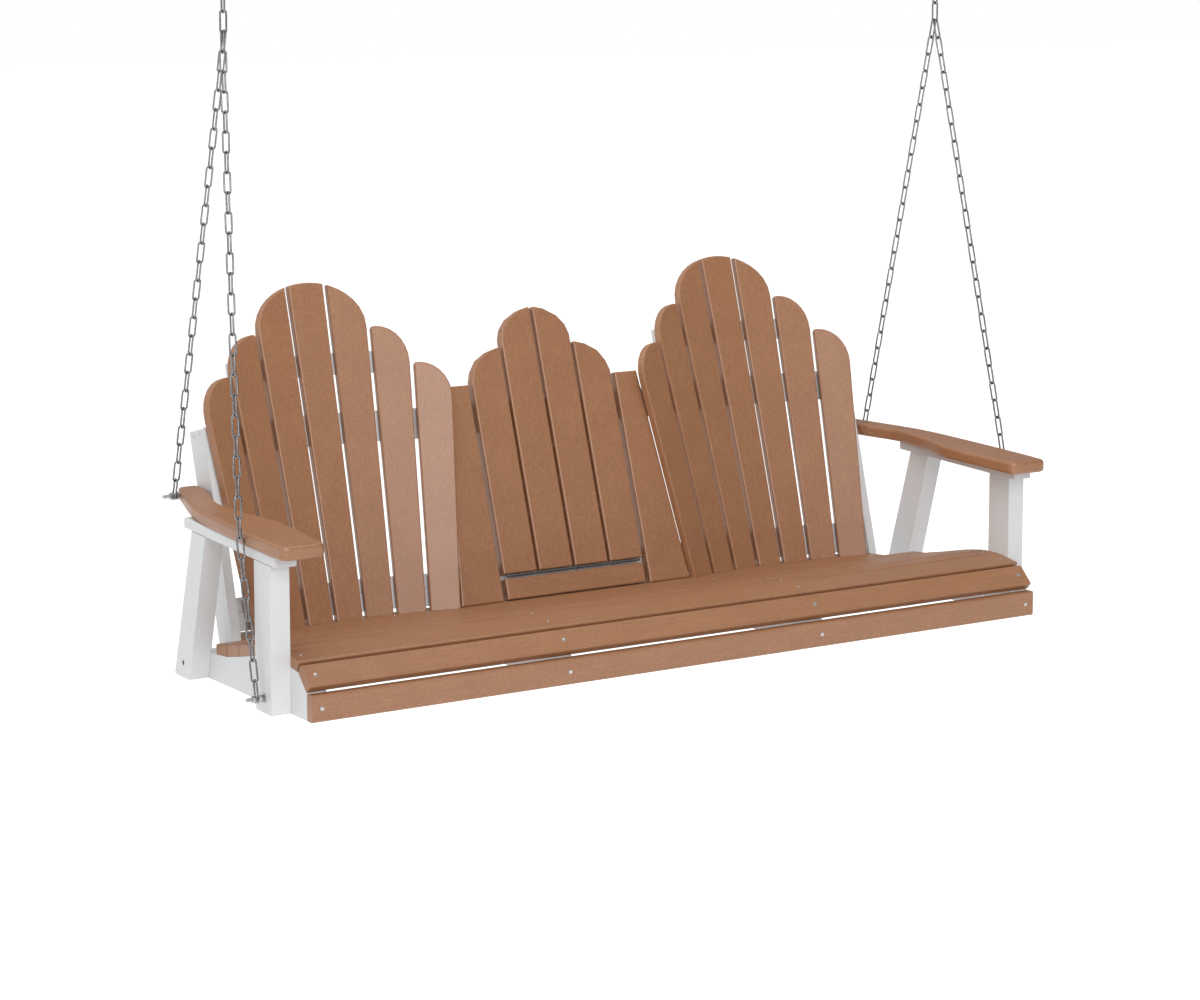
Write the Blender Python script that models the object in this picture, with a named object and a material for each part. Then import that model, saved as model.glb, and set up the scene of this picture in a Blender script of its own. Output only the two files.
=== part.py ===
"""Porch swing seat with two fan backs, a fold-down centre console and chains.

Metres, +Z up, +Y to the back of the seat, +X to its right.  The mesh of every
piece is drawn in seat coordinates: x = 0 is the middle of the seat, z = 0 the
underside of its rails.  Three empties carry the pieces: the ceiling, the axis the
seat swings on and the axis the console panel folds on.
"""
import math

import bmesh
import bpy
import numpy as np

# ---------------------------------------------------------------- dimensions
GAP = 0.0003                 # clearance between pieces that touch
BOARD = 0.021                # thickness of the boards
EDGE = 0.003                 # rounding of the boards' long edges

SEAT_HALF = 0.8663           # half length of the seat boards
SLAT_JOINT = 0.0018          # gap between two seat slats
FIRST_SLAT_FRONT = -0.2395
FIRST_SLAT_REAR = -0.170
SLAT_WIDTH = 0.0485          # the four slats behind the first
LAST_SLAT_WIDTH = 0.054
WIDE_BOARD_END_Y = 0.1250    # rear edge at the ends, beside the uprights
WIDE_BOARD_REAR_Y = 0.235    # rear edge between the uprights
SEAT_CURVE = ((-0.262, 0.100), (-0.232, 0.108), (-0.200, 0.1128), (-0.163, 0.1163),
              (-0.130, 0.1155), (-0.096, 0.1116), (-0.050, 0.1025), (0.012, 0.0884),
              (0.069, 0.0757), (0.132, 0.068), (0.240, 0.0585))

APRON_FRONT_Y = -0.2915
APRON_HEIGHT = 0.052
NOSE_LOWER_FRONT = (-0.284, 0.068)
NOSE_WIDTH = 0.050
NOSE_TILT = math.radians(43.5)
NOSE_THICKNESS = 0.0205

SIDE_RAIL_THICKNESS = 0.041
SIDE_RAIL_REAR_Y = 0.212
RAIL_FALL = 0.0165           # the rails deepen towards the back
RAIL_PAD_FRONT_Y = 0.150
RIB_X = 0.304
RIB_THICKNESS = 0.030

POST_THICKNESS = 0.041
POST_FRONT_Y = -0.2042
POST_REAR_Y = -0.1376
LEG_FRONT = (0.1610, -0.2795)     # edge of the rear leg: y at z = 0 and growth with height
LEG_REAR = (0.2312, -0.304)
LEG_FOOT_Z = -0.007
LEG_BOLT = (0.1930, 0.023)    # sunk bolt hole on the outside of the rear leg
LEG_BOLT_RADIUS = 0.006
LEG_BOLT_DEPTH = 0.008

ARM_SLOPE = 0.028
ARM_TOP = 0.340              # height of the armrest's top at y = 0
ARM_THICKNESS = 0.0265
ARM_RAIL_INNER = SEAT_HALF - 0.0043
ARM_RAIL_OUTER = SEAT_HALF + POST_THICKNESS
ARM_RAIL_FRONT_Y = -0.226
ARM_RAIL_REAR_Y = 0.175
ARM_EDGE = 0.006
# Armrest outline as (y, x beyond the end of the seat boards).
ARM_INNER = ((-0.255, -0.0453), (-0.190, -0.0498), (-0.130, -0.0533), (-0.090, -0.0543),
             (-0.040, -0.0533), (0.0, -0.0443), (0.043, -0.0333), (0.080, -0.0283),
             (0.115, -0.0253), (0.150, -0.0233), (0.186, -0.0293), (0.233, -0.0448),
             (0.268, -0.0548), (0.290, -0.0598))
ARM_OUTER = ((0.330, -0.0173), (0.275, -0.0013), (0.213, 0.0177), (0.147, 0.0352),
             (0.080, 0.0417), (0.0, 0.0457), (-0.1365, 0.0492), (-0.210, 0.0487),
             (-0.258, 0.0477))
ARM_NOSE = ((-0.268, 0.0422), (-0.272, 0.0337), (-0.271, -0.0243), (-0.2685, -0.0363),
            (-0.263, -0.0428))
ARM_TAIL_X = -0.0243
ARM_REAR_Y = 0.336

UPRIGHT_OUTER = SEAT_HALF - 0.0613
UPRIGHT_THICKNESS = 0.020
UPRIGHT_FRONT = (0.1905, 0.285)   # y at z = 0.09, and its growth with height
UPRIGHT_REAR = (0.2576, 0.305)
UPRIGHT_TOP_REAR_Z = 0.452
UPRIGHT_TOP_FRONT_Z = 0.470

FAN_X = 0.6014 * SEAT_HALF   # centre of each fan
FAN_BOARD = 0.0155           # thickness of the fan slats
FAN_RADIUS = 0.555           # radius of the hollow back at FAN_Z, seen from above
FAN_OPENING = 0.30           # growth of the radius with height
FAN_Y = 0.2065               # front face in the middle of the fan at FAN_Z
FAN_Z = 0.0628
FAN_LEAN = 0.3085            # growth of y with height
FAN_PITCH = 0.0781 * SEAT_HALF    # slat pitch at FAN_Z
FAN_SPREAD = 0.0312          # growth of the pitch with height
FAN_TILT = 0.0158            # both fans lean towards each other
FAN_TILT_Z = 0.428           # height where a fan is centred on FAN_X
FAN_JOINT = 0.0085
FAN_SLATS = 7
FAN_FOOT_GAP = 0.0004
FAN_CROWN = (0.643, 0.7365)  # half ellipse over the three middle slats
FAN_CROWN_PITCH_Z = 0.69
FAN_TOPS = {2: (0.565, 0.6415), 3: (0.490, 0.565)}
RAIL_CLEARANCE = 0.0008

TOP_RAIL_Z = (0.544, 0.585)
TOP_RAIL_HALF = 0.200
MID_RAIL_Z = (0.405, 0.464)
MID_RAIL_INNER_X = 0.160
LOW_RAIL_Z = (0.070, 0.130)
LOW_RAIL_JOINT_Z = 0.107
LOW_RAIL_ROOM = 0.0011       # room for the outer slats, which lean in more than the rail

CONSOLE_Y = 0.1665           # front face at z = 0.06
CONSOLE_LEAN = 0.333
CONSOLE_SLAT = 0.082
CONSOLE_JOINT = 0.0065
CONSOLE_FOOT_Z = 0.1202
CONSOLE_INNER_ARC = ((0.003, 0.6600), (0.030, 0.6535), (0.060, 0.6375), (0.078, 0.6175),
                     (0.0853, 0.5960), (0.0853, 0.588))
CONSOLE_OUTER_ARC = ((0.0918, 0.5815), (0.1215, 0.5735), (0.149, 0.5580), (0.1656, 0.5360),
                     (0.1735, 0.5150), (0.1735, 0.507))
BASE_BOARD_HALF = 0.1725
SIDE_BOARD_INNER_X = BASE_BOARD_HALF + 0.0105
SIDE_BOARD_FOOT = (0.3290 * SEAT_HALF, 0.0665)
SIDE_BOARD_TOP = (0.2768 * SEAT_HALF, 0.508)
BASE_BOARD_Z = (0.0685, 0.1105)
TRAY_HALF = 0.1545
TRAY_BATTEN = 0.016
TRAY_THICKNESS = 0.015
TRAY_Z = (0.1435, 0.470)
TRAY_GAPS_Z = (0.169, 0.238, 0.305, 0.372)
TRAY_GAP = 0.0055
FOLD_Z = 0.1190

WIRE = 0.0038                # chain wire
LINK_WIDTH = 0.0165
LINK_PITCH = 0.0382
LINK_HOLD = 0.0004           # how far neighbouring links press into each other
KNOT_PLAY = 0.0011           # room between the rear strand and the link it hangs on
BOLT_RADIUS = 0.004
BOLT_HOLE = 0.0043
FRONT_BOLT = (-0.173, 0.029)
FRONT_LINK_X = SEAT_HALF + 0.0562
FRONT_BOLT_REACH = 0.0225    # bolt end beyond the middle of its chain link
REAR_BOLT = (0.313, 0.3355)
REAR_LINK_X = SEAT_HALF - 0.0007
REAR_BOLT_REACH = 0.0250
REAR_BOLT_WASHER_X = SEAT_HALF - 0.0082
ARM_BEND = (SEAT_HALF + 0.0572, -0.109, 0.340)
FRONT_LINKS = 33
REAR_LINKS = 25
HANG_X = SEAT_HALF - 0.0093
HANG_Y = 0.0650              # the hooks hang over the seat's balance point
KNOT_Z = 1.266
HOOK_WIRE = 0.006
HOOK_RING = 0.013
HOOK_PLATE_RADIUS = 0.026
HOOK_PLATE = 0.004
HOOK_NECK = 0.012

BROWN = (0.46, 0.27, 0.16)
WHITE = (0.86, 0.86, 0.85)
STEEL = (0.62, 0.63, 0.64)

# ------------------------------------------------------------------- carriers
for old in list(bpy.data.objects):
    bpy.data.objects.remove(old, do_unlink=True)

UPPER_LINK = LINK_PITCH + WIRE
HOOK_Z = KNOT_Z + 2 * UPPER_LINK - WIRE + LINK_HOLD - (HOOK_WIRE + WIRE) / 2 - GAP
PLATE_TOP_Z = HOOK_Z + 2 * HOOK_RING + HOOK_NECK + HOOK_PLATE


def console_y(z):
    """Front face of the console boards at height z."""
    return CONSOLE_Y + CONSOLE_LEAN * (z - 0.06)


def add_carrier(name, parent, place):
    """Empty at a place given in seat coordinates."""
    empty = bpy.data.objects.new(name, None)
    bpy.context.scene.collection.objects.link(empty)
    empty["place"] = place
    origin = (0.0, HANG_Y, PLATE_TOP_Z)
    if parent is not None:
        origin = parent["place"]
        empty.parent = parent
    empty.location = [a - b for a, b in zip(place, origin)]
    return empty


ceiling = add_carrier("ceiling_frame", None, (0.0, HANG_Y, PLATE_TOP_Z))
swing = add_carrier("swing_axis", ceiling, (0.0, HANG_Y, HOOK_Z))
console = add_carrier("console_axis", swing, (0.0, console_y(FOLD_Z), FOLD_Z))

materials = {}


def material(slot, colour, roughness, metallic):
    """One Principled material a piece, named after the piece's slot."""
    item = bpy.data.materials.new(slot)
    item.use_nodes = True
    shader = item.node_tree.nodes["Principled BSDF"]
    shader.inputs["Base Color"].default_value = (*colour, 1.0)
    shader.inputs["Roughness"].default_value = roughness
    shader.inputs["Metallic"].default_value = metallic
    return item


FINISH = {"brown": (BROWN, 0.5, 0.0), "white": (WHITE, 0.5, 0.0), "steel": (STEEL, 0.3, 1.0)}


# --------------------------------------------------------------- mesh helpers
def ring_mesh(rings, closed=False):
    """Closed body through rings of equal length; the ends are capped unless closed."""
    body = bmesh.new()
    rows = [[body.verts.new(point) for point in ring] for ring in rings]
    count = len(rows[0])
    steps = len(rows) if closed else len(rows) - 1
    for i in range(steps):
        lower = rows[i]
        upper = rows[(i + 1) % len(rows)]
        for k in range(count):
            n = (k + 1) % count
            body.faces.new((lower[k], lower[n], upper[n], upper[k]))
    if not closed:
        body.faces.new(rows[0][::-1])
        body.faces.new(rows[-1])
    bmesh.ops.recalc_face_normals(body, faces=body.faces)
    bmesh.ops.triangulate(body, faces=[f for f in body.faces if len(f.verts) > 4])
    return body


def to_object(name, body, finish, carrier, smooth=True):
    """Object whose mesh is stored in seat coordinates under its carrier."""
    mesh = bpy.data.meshes.new(name)
    if body.calc_volume(signed=True) < 0:
        bmesh.ops.reverse_faces(body, faces=body.faces)
    body.to_mesh(mesh)
    body.free()
    place = carrier["place"]
    mesh.transform(_shift([-c for c in place]))
    obj = bpy.data.objects.new(name, mesh)
    bpy.context.scene.collection.objects.link(obj)
    obj.parent = carrier
    obj.data.materials.append(material(name, *FINISH[finish]))
    if smooth:
        mesh.shade_smooth()
        mesh.set_sharp_from_angle(angle=math.radians(35))
    return obj


def _shift(vector):
    """Plain move as a matrix."""
    from mathutils import Matrix
    return Matrix.Translation(vector)


def combine(target, other, operation):
    """Exact boolean of two bodies that are both in seat coordinates."""
    scratch = []
    for body in (target, other):
        mesh = bpy.data.meshes.new("scratch")
        body.to_mesh(mesh)
        body.free()
        obj = bpy.data.objects.new("scratch", mesh)
        bpy.context.scene.collection.objects.link(obj)
        scratch.append(obj)
    step = scratch[0].modifiers.new("step", "BOOLEAN")
    step.operation = operation
    step.solver = "EXACT"
    step.use_self = False
    step.object = scratch[1]
    bpy.context.view_layer.update()
    result = bmesh.new()
    result.from_mesh(scratch[0].evaluated_get(bpy.context.evaluated_depsgraph_get()).to_mesh())
    for obj in scratch:
        mesh = obj.data
        bpy.data.objects.remove(obj, do_unlink=True)
        bpy.data.meshes.remove(mesh)
    return result


def rounded(points, radius, steps=2):
    """Polygon whose corners are replaced by arcs of the radius."""
    result = []
    count = len(points)
    for i in range(count):
        before, here, after = (np.array(points[(i + k) % count], float) for k in (-1, 0, 1))
        to_before = (before - here) / np.linalg.norm(before - here)
        to_after = (after - here) / np.linalg.norm(after - here)
        half = math.acos(float(np.clip(to_before @ to_after, -1, 1))) / 2
        reach = radius / math.tan(half)
        start = here + to_before * reach
        end = here + to_after * reach
        middle = (to_before + to_after) / np.linalg.norm(to_before + to_after)
        centre = here + middle * radius / math.sin(half)
        for k in range(steps + 1):
            chord = start + (end - start) * k / steps
            ray = (chord - centre) / np.linalg.norm(chord - centre)
            result.append(tuple(centre + ray * radius))
    return result


def inset(points, distance):
    """Polygon with every side moved inwards by the distance (points run anticlockwise)."""
    result = []
    count = len(points)
    for i in range(count):
        before, here, after = (np.array(points[(i + k) % count], float) for k in (-1, 0, 1))
        first = (here - before) / np.linalg.norm(here - before)
        second = (after - here) / np.linalg.norm(after - here)
        left_first = np.array((-first[1], first[0]))
        left_second = np.array((-second[1], second[0]))
        middle = left_first + left_second
        middle = middle / np.linalg.norm(middle)
        result.append(tuple(here + middle * distance / max(0.35, middle @ left_first)))
    return result


def anticlockwise(points):
    """The points, turned round if their area is negative."""
    area = 0.0
    for (ax, ay), (bx, by) in zip(points, points[1:] + points[:1]):
        area += ax * by - bx * ay
    return list(points) if area > 0 else list(points)[::-1]


def board_along_x(section, x0, x1):
    """Board with a section given as (y, z) points."""
    return ring_mesh([[(x, y, z) for y, z in section] for x in (x0, x1)])


def spline(points, samples):
    """Smooth open curve through the points (Catmull-Rom)."""
    points = [np.array(p, float) for p in points]
    points = [2 * points[0] - points[1]] + points + [2 * points[-1] - points[-2]]
    result = []
    spans = len(points) - 3
    for s in np.linspace(0, spans, samples):
        i = min(int(s), spans - 1)
        t = s - i
        a, b, c, d = points[i:i + 4]
        result.append(0.5 * (2 * b + (c - a) * t + (2 * a - 5 * b + 4 * c - d) * t * t
                             + (3 * b - a - 3 * c + d) * t ** 3))
    return result


CURVE = spline(SEAT_CURVE, 120)


def seat_z(y):
    """Top of the seat at depth y."""
    return float(np.interp(y, [p[0] for p in CURVE], [p[1] for p in CURVE]))


# ----------------------------------------------------------------- seat boards
def seat_boundaries():
    """Depths of the joints between the seat slats, front to back."""
    depths = [FIRST_SLAT_FRONT, FIRST_SLAT_REAR]
    for _ in range(4):
        depths.append(depths[-1] + SLAT_WIDTH)
    depths.append(depths[-1] + LAST_SLAT_WIDTH)
    return depths


BOUNDARIES = seat_boundaries()
TOPS = [np.array((y, seat_z(y))) for y in BOUNDARIES]
WIDE_FRONT = TOPS[-1]
WIDE_REAR = np.array((WIDE_BOARD_REAR_Y, seat_z(WIDE_BOARD_REAR_Y)))
CORNERS = TOPS + [WIDE_REAR]


def down_at(i):
    """Direction of the joint between two seat slats, pointing down."""
    before = CORNERS[max(i - 1, 0)]
    after = CORNERS[min(i + 1, len(CORNERS) - 1)]
    along = (after - before) / np.linalg.norm(after - before)
    return np.array((along[1], -along[0]))


UNDERS = [CORNERS[i] + down_at(i) * BOARD for i in range(len(CORNERS))]
UNDERS[0] = np.array((-0.2309, UNDERS[1][1] - 0.0085))


def slat_section(i):
    """Section of seat slat i with half a joint taken off each side."""
    front_top, rear_top = CORNERS[i], CORNERS[i + 1]
    front_low, rear_low = UNDERS[i], UNDERS[i + 1]
    along = (rear_top - front_top) / np.linalg.norm(rear_top - front_top)
    trim = along * SLAT_JOINT / 2
    corners = (front_low + trim, rear_low - trim, rear_top - trim, front_top + trim)
    return rounded([tuple(c) for c in corners], EDGE)


for number in range(1, 7):
    body = board_along_x(slat_section(number - 1), -SEAT_HALF, SEAT_HALF)
    to_object("seat_slat_%d" % number, body, "brown", swing)


def wide_slope():
    """Direction of the wide board's top, front to back, and of its depth."""
    along = (WIDE_REAR - WIDE_FRONT) / np.linalg.norm(WIDE_REAR - WIDE_FRONT)
    return along, np.array((along[1], -along[0]))


def wide_top(y):
    """Height of the wide board's top at depth y."""
    along, _ = wide_slope()
    return WIDE_FRONT[1] + (y - WIDE_FRONT[0]) * along[1] / along[0]


def wide_board():
    """Board under the fans, cut away round the two uprights."""
    notch = UPRIGHT_OUTER - UPRIGHT_THICKNESS - GAP
    front = WIDE_FRONT[0] + SLAT_JOINT / 2
    outline = [(-SEAT_HALF, front), (SEAT_HALF, front), (SEAT_HALF, WIDE_BOARD_END_Y),
               (notch, WIDE_BOARD_END_Y), (notch, WIDE_BOARD_REAR_Y),
               (-notch, WIDE_BOARD_REAR_Y), (-notch, WIDE_BOARD_END_Y),
               (-SEAT_HALF, WIDE_BOARD_END_Y)]
    _, down = wide_slope()
    rings = []
    for depth, back in ((0.0, EDGE), (EDGE * 0.3, EDGE * 0.3), (EDGE, 0.0), (BOARD, 0.0)):
        shifted = inset(outline, back)
        rings.append([(x, y + down[0] * depth, wide_top(y) + down[1] * depth) for x, y in shifted])
    return ring_mesh(rings)


to_object("seat_slat_7", wide_board(), "brown", swing)

apron = rounded([(APRON_FRONT_Y, 0.0), (APRON_FRONT_Y + BOARD, 0.0),
                 (APRON_FRONT_Y + BOARD, APRON_HEIGHT), (APRON_FRONT_Y, APRON_HEIGHT)], EDGE)
to_object("apron", board_along_x(apron, -SEAT_HALF, SEAT_HALF), "brown", swing)

NOSE_UP = np.array((math.cos(NOSE_TILT), math.sin(NOSE_TILT)))
NOSE_IN = np.array((math.sin(NOSE_TILT), -math.cos(NOSE_TILT)))
NOSE_FOOT = np.array(NOSE_LOWER_FRONT)
nose = [NOSE_FOOT, NOSE_FOOT + NOSE_IN * NOSE_THICKNESS,
        NOSE_FOOT + NOSE_IN * NOSE_THICKNESS + NOSE_UP * NOSE_WIDTH,
        NOSE_FOOT + NOSE_UP * NOSE_WIDTH]
nose = rounded([tuple(p) for p in nose], EDGE)
to_object("nose_slat", board_along_x(nose, -SEAT_HALF, SEAT_HALF), "brown", swing)


# ------------------------------------------------------------------- seat frame
def rail_outline(rear_y):
    """Side view of a seat rail: straight front, bed of the nose slat, slat undersides."""
    back = APRON_FRONT_Y + BOARD + GAP
    low = NOSE_FOOT + NOSE_IN * (NOSE_THICKNESS + 2 * GAP)
    start = low + NOSE_UP * ((back - low[0]) / NOSE_UP[0])
    end = low + NOSE_UP * (NOSE_WIDTH - 0.003)
    points = [(back, 0.0), (rear_y, -RAIL_FALL * (rear_y - back))]
    drop = 2 * GAP
    rear = WIDE_REAR + wide_slope()[1] * BOARD
    front = UNDERS[-2]
    share = (rear_y - front[0]) / (rear[0] - front[0])
    points.append((rear_y, front[1] + (rear[1] - front[1]) * share - drop))
    for under in UNDERS[-2:0:-1]:
        points.append((under[0], under[1] - drop))
    points.append((UNDERS[0][0], UNDERS[0][1] - drop))
    points.append(tuple(end))
    points.append(tuple(start))
    return points


def side_rail(side):
    """Seat rail with the pad that carries the upright."""
    outer = SEAT_HALF
    inner = SEAT_HALF - SIDE_RAIL_THICKNESS
    outline = rail_outline(SIDE_RAIL_REAR_Y)
    body = ring_mesh([[(side * x, y, z) for y, z in outline] for x in (inner, outer)])
    pad_inner = UPRIGHT_OUTER + GAP
    top = UNDERS[-2][1] - 0.006
    pad = [(RAIL_PAD_FRONT_Y, 0.0), (SIDE_RAIL_REAR_Y, 0.0), (SIDE_RAIL_REAR_Y, top - 0.012),
           (RAIL_PAD_FRONT_Y, top - 0.006)]
    block = ring_mesh([[(side * x, y, z) for y, z in pad] for x in (pad_inner, inner + 0.002)])
    body = combine(body, block, "UNION")
    return body


def bolt_hole(side, place, x0, x1, radius=BOLT_HOLE):
    """Cutter for a bolt hole along X."""
    rings = []
    for x in (x0, x1):
        ring = []
        for k in range(12):
            turn = 2 * math.pi * k / 12
            ring.append((side * x, place[0] + radius * math.cos(turn),
                         place[1] + radius * math.sin(turn)))
        rings.append(ring)
    return ring_mesh(rings)


def front_bolt_hole(side):
    """Hole for the front bolt, through the side rail and the front post."""
    inside = SEAT_HALF - SIDE_RAIL_THICKNESS - BOARD
    return bolt_hole(side, FRONT_BOLT, inside, SEAT_HALF + POST_THICKNESS + BOARD)


def rear_bolt_hole(side):
    """Hole for the rear bolt, through the upright and the armrest."""
    inside = UPRIGHT_OUTER - UPRIGHT_THICKNESS - BOARD
    return bolt_hole(side, REAR_BOLT, inside, REAR_LINK_X + BOARD)


SIDES = (("left", -1.0), ("right", 1.0))

for word, side in SIDES:
    body = combine(side_rail(side), front_bolt_hole(side), "DIFFERENCE")
    to_object("side_rail_" + word, body, "white", swing)
    rib = rail_outline(WIDE_BOARD_REAR_Y - 0.004)
    x0 = side * RIB_X - RIB_THICKNESS / 2
    body = ring_mesh([[(x, y, z) for y, z in rib] for x in (x0, x0 + RIB_THICKNESS)])
    to_object("seat_rib_" + word, body, "white", swing)


def arm_under(y):
    """Underside of the arm rail at depth y."""
    return ARM_TOP - ARM_THICKNESS - BOARD - GAP + ARM_SLOPE * y


def slab_x(outline, inner, outer, side, radius=0.002):
    """Upright board given by its side view, between two x planes."""
    shape = rounded(outline, radius, 1)
    return ring_mesh([[(side * x, y, z) for y, z in shape] for x in (inner, outer)])


for word, side in SIDES:
    inner = SEAT_HALF + GAP
    outer = SEAT_HALF + POST_THICKNESS
    post = [(POST_FRONT_Y, 0.0), (POST_REAR_Y, 0.0), (POST_REAR_Y, arm_under(POST_REAR_Y) - GAP),
            (POST_FRONT_Y, arm_under(POST_FRONT_Y) - GAP)]
    body = slab_x(post, inner, outer, side)
    body = combine(body, front_bolt_hole(side), "DIFFERENCE")
    to_object("front_post_" + word, body, "white", swing)

    leg = []
    for foot, lean in (LEG_FRONT, LEG_REAR):
        leg.append((foot + lean * LEG_FOOT_Z, LEG_FOOT_Z))
    for foot, lean in (LEG_REAR, LEG_FRONT):
        top = (arm_under(foot) - GAP) / (1 - ARM_SLOPE * lean)
        leg.append((foot + lean * top, top))
    sunk = bolt_hole(side, LEG_BOLT, outer - LEG_BOLT_DEPTH, outer + BOARD, LEG_BOLT_RADIUS)
    body = combine(slab_x(leg, inner, outer, side), sunk, "DIFFERENCE")
    to_object("rear_leg_" + word, body, "white", swing)

    rail = []
    for y in (ARM_RAIL_FRONT_Y, ARM_RAIL_REAR_Y):
        low = arm_under(y)
        high = low + BOARD
        section = rounded([(ARM_RAIL_INNER, low), (ARM_RAIL_OUTER, low),
                           (ARM_RAIL_OUTER, high), (ARM_RAIL_INNER, high)], 0.002, 1)
        rail.append([(side * x, y, z) for x, z in section])
    to_object("arm_rail_" + word, ring_mesh(rail), "white", swing)

    front_z = UPRIGHT_TOP_FRONT_Z
    upright = []
    for z in (0.0, front_z):
        upright.append((UPRIGHT_FRONT[0] + UPRIGHT_FRONT[1] * (z - 0.09), z))
    rear_top = UPRIGHT_TOP_REAR_Z
    upright.append((UPRIGHT_REAR[0] + UPRIGHT_REAR[1] * (rear_top - 0.09), rear_top))
    upright.append((UPRIGHT_REAR[0] + UPRIGHT_REAR[1] * (0.0 - 0.09), 0.0))
    body = slab_x(upright, UPRIGHT_OUTER - UPRIGHT_THICKNESS, UPRIGHT_OUTER, side)
    body = combine(body, rear_bolt_hole(side), "DIFFERENCE")
    to_object("back_upright_" + word, body, "white", swing)


def armrest(side):
    """Armrest: curved outline seen from above, rounded top and bottom edges."""
    inner = spline([(SEAT_HALF + x, y) for y, x in ARM_INNER], 22)
    outer = spline([(SEAT_HALF + x, y) for y, x in ARM_OUTER], 12)
    rest = UPRIGHT_OUTER + 2 * GAP
    rear = [(rest, 0.300), (rest, ARM_REAR_Y - 0.003), (rest + 0.004, ARM_REAR_Y),
            (SEAT_HALF + ARM_TAIL_X, ARM_REAR_Y)]
    front = [(SEAT_HALF + x, y) for y, x in ARM_NOSE]
    outline = [tuple(p) for p in inner] + rear + [tuple(p) for p in outer] + front
    outline = anticlockwise([(max(x, rest) if y > 0.2 else x, y) for x, y in outline])
    rings = []
    curve = ((0.0, 1.0), (0.3, 0.3), (1.0, 0.0))
    levels = [(-ARM_THICKNESS + ARM_EDGE * d, ARM_EDGE * b) for d, b in curve]
    levels += [(-ARM_EDGE * d, ARM_EDGE * b) for d, b in curve[::-1]]
    for drop, back in levels:
        shape = inset(outline, back)
        rings.append([(side * x, y, ARM_TOP + ARM_SLOPE * y + drop) for x, y in shape])
    return ring_mesh(rings)


for word, side in SIDES:
    body = combine(armrest(side), rear_bolt_hole(side), "DIFFERENCE")
    to_object("armrest_" + word, body, "brown", swing)


# ------------------------------------------------------------------------- fans
def fan_radius(z):
    """Radius of the hollow back at height z."""
    return FAN_RADIUS + FAN_OPENING * (z - FAN_Z)


def fan_shift(z):
    """Outward offset of a fan's centre line at height z."""
    return -FAN_TILT * (z - FAN_TILT_Z)


def fan_point(g, z):
    """Front face of a fan at distance g from its centre line."""
    hollow = g * g / (2 * fan_radius(z))
    return np.array((g + fan_shift(z), FAN_Y + FAN_LEAN * (z - FAN_Z) - hollow, z))


def fan_pitch(z):
    """Slat pitch of a fan at height z."""
    return FAN_PITCH + FAN_SPREAD * (z - FAN_Z)


def arc(x0, z0, x1, z1, steps):
    """Quarter ellipse from the upright end (x0, z0) to the level end (x1, z1)."""
    points = []
    for k in range(steps + 1):
        turn = math.pi / 2 * k / steps
        points.append((x0 + (x1 - x0) * (1 - math.cos(turn)), z0 + (z1 - z0) * math.sin(turn)))
    return points


def fan_outline(place):
    """Front outline of one slat as (share across, height) points, share from -1 to 1."""
    if abs(place) < 2:
        points = []
        pitch = fan_pitch(FAN_CROWN_PITCH_Z)
        reach = (3 * pitch - FAN_JOINT) / 2
        for k in range(9):
            share = -math.cos(math.pi * k / 8)
            aside = (place * pitch + share * (pitch - FAN_JOINT) / 2) / reach
            rise = math.sqrt(max(0.0, 1 - aside * aside))
            points.append((share, FAN_CROWN[0] + (FAN_CROWN[1] - FAN_CROWN[0]) * rise))
    else:
        low, high = FAN_TOPS[abs(place)]
        outward = 1.0 if place > 0 else -1.0
        points = [(-outward, high - 0.005), (-outward * 0.93, high - 0.0008)]
        points += arc(outward, low, -outward * 0.75, high, 7)[::-1]
        if place < 0:
            points = points[::-1]
    return points


def fan_slat(side, place):
    """Flat slat, tangent to the hollow back, with rounded edges."""
    z_low = wide_top(0.2) + FAN_FOOT_GAP
    foot = fan_point(place * fan_pitch(z_low), z_low)
    z_low = wide_top(foot[1]) + FAN_FOOT_GAP
    foot = fan_point(place * fan_pitch(z_low), z_low)
    z_high = 0.6
    head = fan_point(place * fan_pitch(z_high), z_high)
    rise = (head - foot) / (z_high - z_low)
    slope = place * fan_pitch(0.35) / fan_radius(0.35)
    across = np.array((1.0, -slope, 0.0))
    across = across / np.linalg.norm(across)
    back = np.cross(rise, across)
    back = back / np.linalg.norm(back)
    if back[1] < 0:
        back = -back
    outline = [(-1.0, z_low), *fan_outline(place), (1.0, z_low)]
    flat = []
    for share, z in outline:
        half = (fan_pitch(z) * math.hypot(1, slope) - FAN_JOINT) / 2
        flat.append((share * half, z - z_low))
    flat = anticlockwise(flat)
    rings = []
    for depth, trim in ((0.0, EDGE), (EDGE * 0.3, EDGE * 0.3), (EDGE, 0.0), (FAN_BOARD, 0.0)):
        ring = []
        for u, w in inset(flat, trim):
            point = foot + across * u + rise * w + back * depth
            if w < 0.01:
                floor = wide_top(point[1]) + FAN_FOOT_GAP
                point = point + rise * (floor + w - trim - point[2])
            ring.append((side * point[0] + side * FAN_X, point[1], point[2]))
        rings.append(ring)
    return ring_mesh(rings)


for word, side in SIDES:
    for index in range(FAN_SLATS):
        body = fan_slat(side, index - 3)
        to_object("fan_%s_slat_%d" % (word, index + 1), body, "brown", swing)


def fan_back(g, z):
    """Back of the fan slats, where a rail lies, at distance g from the fan's centre."""
    thick = FAN_BOARD * math.hypot(1, FAN_LEAN, g / fan_radius(z))
    sag = fan_pitch(z) ** 2 / (8 * fan_radius(z))
    return fan_point(g, z)[1] + thick + sag + RAIL_CLEARANCE


def fan_stations(z, low, high):
    """Distances from the fan centre where a rail bends: at the joints of the slats."""
    pitch = fan_pitch(z)
    inside = [k * pitch for k in np.arange(-3.5, 4.0, 1.0) if low + 0.012 < k * pitch < high - 0.012]
    return [low] + inside + [high]


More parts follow.
